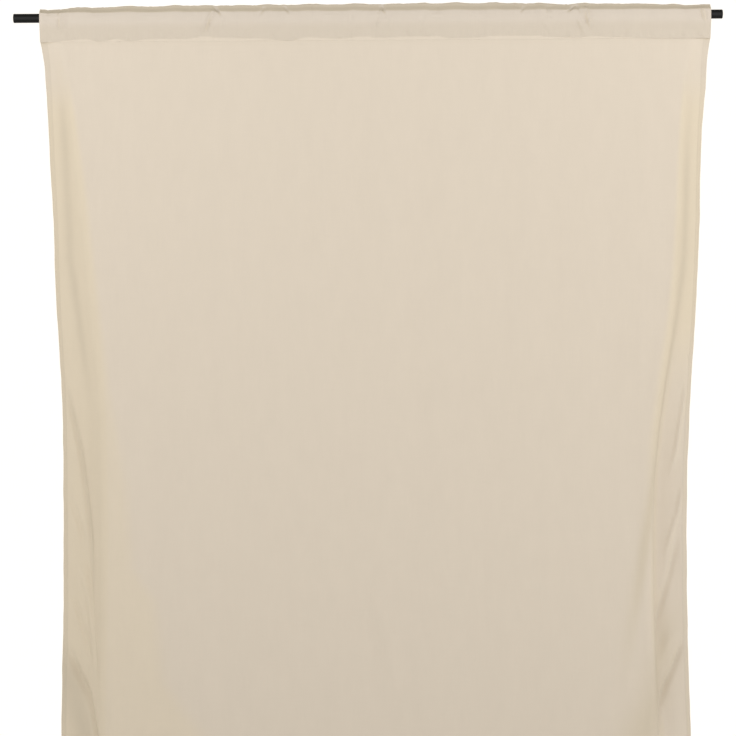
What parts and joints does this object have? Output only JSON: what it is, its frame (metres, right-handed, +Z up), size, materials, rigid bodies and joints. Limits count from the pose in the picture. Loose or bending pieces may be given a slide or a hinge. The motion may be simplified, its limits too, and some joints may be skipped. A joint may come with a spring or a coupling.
{
  "type": "fabric room curtain panel",
  "caption": "Plain woven curtain panel with a sewn rod pocket, narrow side hems and a deep bottom hem, hanging on a straight round rod that it slides, gathers and swings on.",
  "frame": {"origin": "on the rod's axis, halfway along the rod", "axes": "+X along the rod to the viewer's right, -Y to the room side, +Z up"},
  "size_m": [1.48, 0.0943, 2.5],
  "materials": {
    "cloth": "matt plain weave with a faint sheen, pale warm beige",
    "thread": "twisted polyester sewing thread",
    "label": "smooth white satin ribbon, blank",
    "rod": "satin black powder coat",
    "plug": "moulded black plastic"
  },
  "bodies": {
    "rod": {"curtain_rod": "rod", "end_plug_left": "plug", "end_plug_right": "plug"},
    "casing": {"rod_pocket": "cloth", "pocket_end_left": "cloth", "pocket_seam": "thread"},
    "casing_end": {"pocket_end_right": "cloth", "pocket_seam_end": "thread"},
    "drop": {"drop_cloth": "cloth", "edge_inner_left": "cloth", "edge_outer_left": "cloth", "side_hem_left": "cloth", "side_seam_left": "thread", "bottom_hem": "cloth", "hem_corner_left": "cloth", "bottom_seam": "thread", "care_label": "label", "label_stitch": "thread"},
    "leading_edge": {"edge_inner_right": "cloth", "edge_outer_right": "cloth", "side_hem_right": "cloth", "side_seam_right": "thread", "hem_corner_right": "cloth", "bottom_seam_end": "thread"}
  },
  "joints": [
    {"name": "panel_slide", "type": "slide", "parent": "rod", "child": "casing", "axis": [1, 0, 0], "range_m": [-0.054, 0.024]},
    {"name": "draw", "type": "slide", "parent": "casing", "child": "casing_end", "axis": [-1, 0, 0], "range_m": [0, 0.88], "deforming": ["rod_pocket", "pocket_seam"]},
    {"name": "drop_swing", "type": "hinge", "parent": "casing", "child": "drop", "pos_m": [0.015, 0, -0.05025], "axis": [1, 0, 0], "range_deg": [-45, 30]},
    {"name": "edge_draw", "type": "slide", "parent": "drop", "child": "leading_edge", "axis": [-1, 0, 0], "range_m": [0, 0.88], "deforming": ["drop_cloth", "bottom_hem", "bottom_seam"]}
  ],
  "couplings": [
    {"joint": "edge_draw", "follows": "draw", "ratio": 1}
  ]
}
